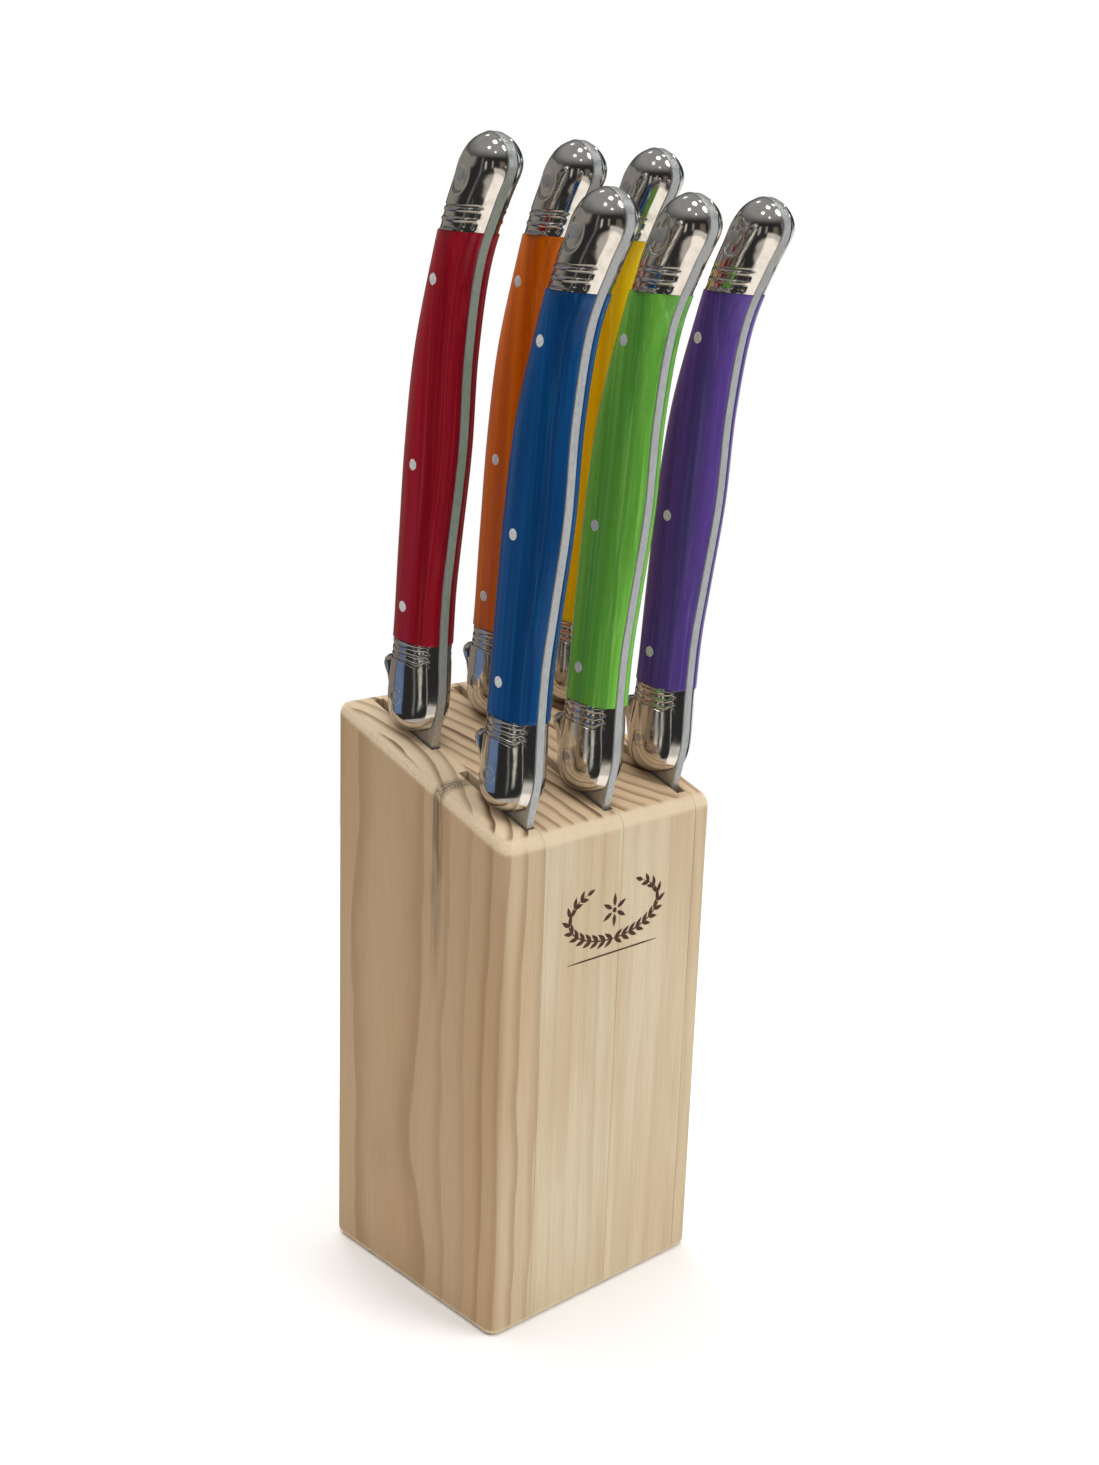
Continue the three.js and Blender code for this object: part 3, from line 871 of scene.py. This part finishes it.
class Shader:
    """A material and its node tree, with short ways to add the nodes used here. Places are in millimetres."""

    def __init__(self, name):
        self.material = bpy.data.materials.new(name)
        self.material.use_nodes = True
        self.tree = self.material.node_tree
        self.tree.nodes.clear()
        coordinates = self.node("TexCoord").outputs["Object"]
        self.place = self.vector("SCALE", coordinates, Scale=1 / MM)

    def node(self, kind, inputs=None, **settings):
        made = self.tree.nodes.new("ShaderNode" + kind)
        for key, value in settings.items():
            setattr(made, key, value)
        for key, value in (inputs or {}).items():
            self.feed(made.inputs[key], value)
        return made

    def feed(self, socket, value):
        if isinstance(value, bpy.types.NodeSocket):
            self.tree.links.new(value, socket)
        else:
            socket.default_value = value

    def math(self, operation, *values):
        return self.node("Math", dict(enumerate(values)), operation=operation).outputs[0]

    def product(self, first, second):
        return self.math("MULTIPLY", first, second)

    def vector(self, operation, *values, **named):
        made = self.node("VectorMath", {**dict(enumerate(values)), **named}, operation=operation)
        return made.outputs["Value" if operation == "LENGTH" else "Vector"]

    def noise(self, factors, detail, roughness, offset=(0, 0, 0), output="Fac"):
        """Soft noise that runs long along each axis whose factor is small."""
        place = self.vector("ADD", self.vector("MULTIPLY", self.place, factors), offset)
        inputs = {"Vector": place, "Scale": 1.0, "Detail": detail, "Roughness": roughness}
        return self.node("TexNoise", inputs).outputs[output]

    def span(self, value, low, high, new_low=0.0, new_high=1.0, smooth=True):
        """Maps low to high onto new_low to new_high, held at both ends."""
        inputs = {"Value": value, "From Min": low, "From Max": high, "To Min": new_low, "To Max": new_high}
        kind = "SMOOTHSTEP" if smooth else "LINEAR"
        return self.node("MapRange", inputs, interpolation_type=kind).outputs[0]

    def colour(self, share, first, second):
        """The first colour, turned into the second as the share goes from 0 to 1."""
        return self.node("Mix", {0: share, 6: first, 7: second}, data_type="RGBA").outputs[2]

    def parts(self, vector):
        return self.node("SeparateXYZ", {0: vector}).outputs

    def bump(self, height, depth, strength):
        inputs = {"Height": height, "Strength": strength, "Distance": depth * MM}
        return self.node("Bump", inputs).outputs[0]

    def finish(self, **inputs):
        principled = self.node("BsdfPrincipled")
        for key, value in inputs.items():
            self.feed(principled.inputs[key.replace("_", " ")], value)
        self.node("OutputMaterial", {"Surface": principled.outputs[0]})
        return self.material


def rgb(colour):
    """A colour given as a screen shows it, 0 to 255, in the linear numbers that a shader takes."""
    def linear(value):
        share = value / 255
        return share / 12.92 if share <= 0.04045 else ((share + 0.055) / 1.055) ** 2.4
    return (*(linear(value) for value in colour), 1.0)


def growth_rings(shader, board):
    """0 in the pale early wood, rising to 1 at each dark late line."""
    offset = (board.seed * 3.1, board.seed * 1.7, board.seed * 5.3)
    wander = shader.noise((1 / 20, 1 / 20, 1 / 60), 2.5, 0.5, offset, "Color")
    centred = shader.vector("SUBTRACT", wander, (0.5, 0.5, 0.5))
    bent = shader.vector("ADD", shader.place, shader.vector("MULTIPLY", centred, RING_WANDER))
    flat = shader.vector("MULTIPLY", shader.vector("SUBTRACT", bent, (*board.pith, 0)), (1, 1, 0))
    rings = shader.math("DIVIDE", shader.vector("LENGTH", flat), board.spacing)
    phase = shader.math("FRACT", rings)
    rise = shader.span(phase, 0.25, 0.88)
    fall = shader.span(phase, 0.93, 1.0, 1.0, 0.0)
    number = shader.math("FLOOR", rings)
    chance = shader.node("TexWhiteNoise", {"W": number}, noise_dimensions="1D").outputs["Value"]
    line = shader.product(shader.math("POWER", rise, RING_SHARPNESS), fall)
    return shader.product(line, shader.span(chance, 0.0, 1.0, 0.45, 1.0))


def pine(name, board, stained_and_shaded):
    """Pine whose rings show as faint lines on its sides and as arcs on its end grain."""
    shader = Shader(name)
    offset = (board.seed, board.seed * 2.0, board.seed * 0.5)
    rings = growth_rings(shader, board)
    fibres = shader.noise((2.6, 2.6, 0.07), 4, 0.6, offset)
    pores = shader.noise((7.0, 7.0, 0.5), 2, 0.6, offset)
    clouds = shader.noise((0.07, 0.07, 0.012), 2, 0.5, offset)
    normal = shader.parts(shader.node("NewGeometry").outputs["Normal"])
    upward = shader.math("ABSOLUTE", normal[2])
    end_grain = shader.span(upward, 0.7, 0.93)
    tone = shader.colour(shader.span(clouds, 0.38, 0.66, 0.0, 0.6), rgb(board.early), rgb(CLOUD))
    tone = shader.colour(shader.product(end_grain, END_SHARE), tone, rgb(board.end))
    # Painted shade: on this board, surfaces facing left are turned tanner and darker
    if stained_and_shaded:
        tone = shader.colour(shader.span(normal[0], -0.9, -0.3, 0.5, 0.0), tone, rgb(LEFT_FACE_SHADE))
    line = shader.colour(end_grain, rgb(board.late), rgb(LATE_END))
    clearness = shader.span(end_grain, 0, 1, board.side_rings, 1.0)
    tone = shader.colour(shader.product(rings, clearness), tone, line)
    tone = shader.colour(shader.span(fibres, 0.38, 0.75, 0.0, 0.17), tone, rgb(FIBRE))
    tone = shader.colour(shader.span(pores, 0.56, 0.8, 0.0, 0.16), tone, rgb(PORE))
    # Painted highlight: the rounded top edges, where the normal tilts between up and sideways, are made paler
    tone = shader.colour(painted_rim_highlight(shader, upward, offset), tone, rgb(RIM_HIGHLIGHT))
    if stained_and_shaded:
        tone = shader.colour(stain_share(shader, fibres), tone, rgb(STAIN))
    height = shader.math("SUBTRACT", shader.product(rings, 0.5), shader.math("ADD", fibres, pores))
    return shader.finish(
        Base_Color=tone,
        Roughness=shader.span(fibres, 0.3, 0.7, 0.5, 0.68),
        Specular_IOR_Level=0.3,
        Normal=shader.bump(height, 0.05, 0.55),
    )


def painted_rim_highlight(shader, upward, offset):
    """A painted highlight: a pale, fuzzy band on the rounded edges round the block's top."""
    fuzz = shader.noise((3.0, 3.0, 3.0), 3, 0.7, offset)
    rim = shader.product(shader.span(upward, 0.06, 0.35), shader.span(upward, 0.72, 0.92, 1.0, 0.0))
    return shader.product(rim, shader.span(fuzz, 0.3, 0.6, 0.4, 0.95))


def stain_share(shader, fibres):
    """A grey mineral streak down the left face, strongest at the top."""
    _, y, z = shader.parts(shader.place)
    wander = shader.noise((0, 0, 0.05), 2, 0.5)
    middle = shader.span(wander, 0.2, 0.8, -8.6, -6.2, smooth=False)
    away = shader.math("ABSOLUTE", shader.math("SUBTRACT", y, middle))
    across = shader.span(away, 0.5, 2.4, 0.9, 0.0)
    down = shader.span(z, 62, 114, 0.0, 0.9)
    broken = shader.span(fibres, 0.34, 0.58, 0.2, 1.0)
    return shader.product(shader.product(across, down), broken)


def burned_wood():
    shader = Shader("burned_wood")
    grain = shader.noise((3.0, 3.0, 0.2), 3, 0.6)
    return shader.finish(
        Base_Color=shader.colour(grain, *map(rgb, BURNED)),
        Roughness=shader.span(grain, 0.3, 0.7, 0.7, 0.9),
        Normal=shader.bump(grain, 0.04, 0.6),
    )


def handle_plastic(name, deep, middle, light, lean):
    """Glossy plastic with soft pearly streaks along the handle, which leans about the x axis."""
    shader = Shader(name)
    inputs = {"Vector": shader.place, "Angle": -lean}
    shader.place = shader.node("VectorRotate", inputs, rotation_type="X_AXIS").outputs[0]
    bands = shader.noise((0.22, 0.22, 0.006), 2, 0.5)
    streaks = shader.noise((1.1, 1.1, 0.014), 3, 0.5)
    hairs = shader.noise((4.0, 4.0, 0.03), 2, 0.5)
    tone = shader.colour(shader.span(bands, 0.3, 0.7), deep, middle)
    tone = shader.colour(shader.span(streaks, 0.48, 0.8, 0.0, 0.7), tone, light)
    tone = shader.colour(shader.span(hairs, 0.5, 0.85, 0.0, 0.4), tone, light)
    wear = shader.noise((0.3, 0.3, 0.12), 3, 0.5)
    return shader.finish(
        Base_Color=tone,
        Roughness=shader.span(wear, 0.35, 0.7, 0.27, 0.33),
        Specular_IOR_Level=0.14,
        Coat_Weight=0.3,
        Coat_Roughness=0.06,
        Normal=shader.bump(wear, 0.006, 0.4),
    )


def polished_metal(name, tint, roughness, waviness):
    """Cast and polished: slightly uneven, with faint smudges and hairline scratches."""
    shader = Shader(name)
    waves = shader.noise((0.32, 0.32, 0.2), 2, 0.5)
    smudges = shader.noise((0.55, 0.55, 0.4), 4, 0.6, (4, 1, 7))
    scratches = shader.noise((9.0, 9.0, 0.6), 2, 0.5)
    tone = shader.colour(shader.span(smudges, 0.4, 0.75, 0.0, 0.25), tint, rgb(SMUDGE))
    height = shader.math("ADD", shader.product(waves, waviness), shader.product(scratches, 0.02))
    return shader.finish(
        Base_Color=tone,
        Metallic=1.0,
        Roughness=shader.span(smudges, 0.35, 0.75, roughness * 0.7, roughness * 1.6),
        Normal=shader.bump(height, 0.3, 0.5),
    )


def brushed_metal(name, tint, roughness, grain, metallic):
    """Satin metal with fine grinding marks; grain is how closely they run along x, y and z."""
    shader = Shader(name)
    marks = shader.noise(grain, 4, 0.65)
    patches = shader.noise((0.4, 0.4, 0.1), 2, 0.5, (2, 5, 3))
    tone = shader.colour(shader.span(marks, 0.4, 0.7, 0.0, 0.5), tint, rgb(GRINDING_MARK))
    return shader.finish(
        Base_Color=tone,
        Metallic=metallic,
        Roughness=shader.span(patches, 0.3, 0.7, roughness * 0.85, roughness * 1.2),
        Normal=shader.bump(marks, 0.012, 0.5),
    )


def painted_groove_shade():
    """A dark, speckled ring that paints the shade in the groove round the bolster's pin."""
    shader = Shader("painted_groove_shade")
    specks = shader.noise((3.0, 3.0, 3.0), 3, 0.6)
    return shader.finish(
        Base_Color=shader.colour(specks, *map(rgb, GROOVE_SHADE)),
        Roughness=shader.span(specks, 0.3, 0.7, 0.5, 0.8),
        Specular_IOR_Level=0.2,
    )


def plain_floor():
    shader = Shader("floor")
    return shader.finish(Base_Color=FLOOR_COLOUR, Roughness=0.9, Specular_IOR_Level=0.1)


# ---- Studio ----

def camera():
    data = bpy.data.cameras.new("camera")
    data.lens = CAMERA_LENS
    data.clip_start = CLIP_START * MM
    stand = Matrix.Translation(Vector(CAMERA_PLACE) * MM)
    for angle, axis in ((CAMERA_AZIMUTH, "Z"), (90 - CAMERA_ELEVATION, "X"), (CAMERA_ROLL, "Z")):
        stand @= Matrix.Rotation(math.radians(angle), 4, axis)
    made = new_object("camera", data)
    made.matrix_world = stand
    bpy.context.scene.camera = made


def soft_light(light):
    """A large square light aimed at the middle of the object and left out of reflections."""
    data = bpy.data.lights.new(light.name, "AREA")
    data.size = light.size
    data.energy = light.power
    data.color = light.tint
    made = new_object(light.name, data)
    made.location = light.place
    made.rotation_euler = (Vector(light.place) - Vector(AIM)).to_track_quat("Z", "Y").to_euler()
    made.visible_glossy = False


def floor():
    form = bmesh.new()
    bmesh.ops.create_circle(form, cap_ends=True, segments=FLOOR_POINTS, radius=FLOOR_RADIUS)
    made = new_object("floor", mesh_from(form, "floor"))
    made.data.materials.append(plain_floor())
    made.visible_glossy = False


def panel_light(tree, azimuth, elevation, panel):
    """The light of a soft-edged panel seen in that direction."""
    shares = []
    for value, (centre, half, soft) in ((azimuth, panel.azimuth), (elevation, panel.elevation)):
        away = tree.math("ABSOLUTE", tree.math("SUBTRACT", value, centre))
        if value == azimuth:
            away = tree.math("MINIMUM", away, tree.math("SUBTRACT", 360, away))
        shares.append(tree.span(away, half - soft, half + soft, 1.0, 0.0))
    return tree.vector("SCALE", panel.colour, Scale=tree.product(*shares))


def lamp_light(tree, direction, lamp):
    """The light of a small round ceiling lamp seen in that direction."""
    turn, rise = math.radians(lamp.azimuth), math.radians(lamp.elevation)
    towards = (math.cos(turn) * math.cos(rise), math.sin(turn) * math.cos(rise), math.sin(rise))
    nearness = tree.node("VectorMath", {0: direction, 1: towards}, operation="DOT_PRODUCT").outputs["Value"]
    rim = math.cos(math.radians(lamp.radius + LAMP_EDGE))
    share = tree.span(nearness, rim, math.cos(math.radians(lamp.radius)))
    return tree.vector("SCALE", (lamp.strength,) * 3, Scale=share)


class World(Shader):
    """The room: plain white behind the object, and panels and lamps that only the gloss shows."""

    def __init__(self):
        world = bpy.data.worlds.new("studio")
        bpy.context.scene.world = world
        world.use_nodes = True
        self.tree = world.node_tree
        self.tree.nodes.clear()
        direction = self.node("TexCoord").outputs["Generated"]
        x, y, z = self.parts(direction)
        turn = self.math("DEGREES", self.math("ARCTAN2", y, x))
        azimuth = self.math("MODULO", self.math("ADD", turn, 360), 360)
        elevation = self.math("DEGREES", self.math("ARCSINE", z))
        room = self.room(direction, azimuth, elevation)
        rays = self.node("LightPath").outputs
        seen = self.colour(rays["Is Glossy Ray"], (AMBIENT, AMBIENT, AMBIENT, 1), room)
        seen = self.colour(rays["Is Camera Ray"], seen, (1.0, 1.0, 1.0, 1))
        background = self.node("Background", {"Color": seen})
        self.node("OutputWorld", {"Surface": background.outputs[0]})

    def room(self, direction, azimuth, elevation):
        """What the gloss sees: dim walls and ceiling, the panels and the lamps."""
        dim = self.span(elevation, WALL_TOP, CEILING_START, WALL, CEILING)
        room = self.node("CombineXYZ", {0: dim, 1: dim, 2: dim}).outputs[0]
        for panel in PANELS:
            room = self.vector("ADD", room, panel_light(self, azimuth, elevation, panel))
        for lamp in LAMPS:
            room = self.vector("ADD", room, lamp_light(self, direction, lamp))
        return room


# ---- Assembly ----

def knife_lean(colour):
    """How far the knife leans about the x axis: its axis is its slide's."""
    joint = next(joint for joint in frame["joints"] if joint["child"] == f"knife_{colour}")
    _, y, z = joint["axis"]
    return math.atan2(-y, z)


def knife_place(colour):
    """The knife's own frame, which its lean and its bolster pin give."""
    turn = Matrix.Rotation(knife_lean(colour), 4, "X")
    low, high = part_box(f"{colour}_bolster_pin")
    pin = turn @ Vector((0, BOLSTER_PIN[0] * MM, BOLSTER_PIN[1] * MM))
    return Matrix.Translation((low + high) / 2 - pin) @ turn


def piece(name, mesh, material, body, nodes=(), place=Matrix.Identity(4)):
    made = new_object(name, mesh.copy())
    made.data.transform(place)
    made.data.materials.clear()
    made.data.materials.append(material)
    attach(made, body)
    if nodes:
        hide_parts(*nodes)


def build_block():
    for number, (board, mesh) in enumerate(zip(BOARDS, board_meshes()), start=1):
        material = pine(f"pine_{number}", board, number == STAINED_AND_SHADED_BOARD)
        piece(f"pine_board_{number}", mesh, material, "block", [f"board_{number}"])
    piece("burned_ornament", ornament_mesh(), burned_wood(), "block")


def knife_rows():
    """What all knives have alike: each piece's name, mesh, material, replaced nodes and slot.

    A scale has no material or slot here, because each knife has its own plastic.
    """
    chrome = polished_metal("polished_steel", rgb(CHROME), 0.1, 0.25)
    pins = brushed_metal("pin_steel", rgb(PIN_STEEL), 0.4, (1.6, 1.6, 1.6), 0.72)
    steel = brushed_metal("satin_steel", rgb(SATIN_STEEL), 0.34, (5.0, 5.0, 0.3), 0.78)
    aluminium = brushed_metal("rivet_aluminium", rgb(RIVET_ALUMINIUM), 0.45, (2.0, 2.0, 2.0), 0.25)
    bolster_pin, groove, cap_pin, rivets = turned_meshes()
    rows = [
        ("blade_with_tang", plate_mesh(), steel, ["blade_and_tang"], "blade_steel"),
        ("spine_boss", boss_mesh(), chrome, [], "polished_steel"),
    ]
    for side, sign in SIDES.items():
        rows += [
            (f"{side}_scale", scale_mesh(sign), None, [f"scale_{side}"], None),
            (f"{side}_bolster", bolster_mesh(sign), chrome, [f"bolster_{side}"], "polished_steel"),
            (f"{side}_cap", cap_mesh(sign), chrome, [f"cap_{side}"], "polished_steel"),
        ]
    rows += [
        ("pin_in_bolster", bolster_pin, pins, ["bolster_pin"], "blade_steel"),
        # A dark ring laid in the groove round the bolster's pin: painted shade
        ("painted_shade_in_pin_groove", groove, painted_groove_shade(), [], None),
        ("pin_in_cap", cap_pin, pins, ["cap_pin"], "blade_steel"),
    ]
    for number, rivet in enumerate(rivets, start=1):
        rows.append((f"rivet_{number}", rivet, aluminium, [], "blade_steel"))
    return rows


def build_knives():
    rows = knife_rows()
    for colour in COLOURS:
        body = f"knife_{colour}"
        place = knife_place(colour)
        plastic = handle_plastic(f"{colour}_plastic", *map(rgb, PLASTICS[colour]), knife_lean(colour))
        for name, mesh, material, nodes, slot in rows:
            if material is None:
                material, slot = plastic, f"{colour}_plastic"
            own_nodes = [f"{colour}_{node}" for node in nodes]
            piece(f"{colour}_{name}", mesh, material, body, own_nodes, place)


camera()
bpy.context.scene.view_settings.view_transform = "Standard"
World()
for light in LIGHTS:
    soft_light(light)
floor()
build_block()
build_knives()
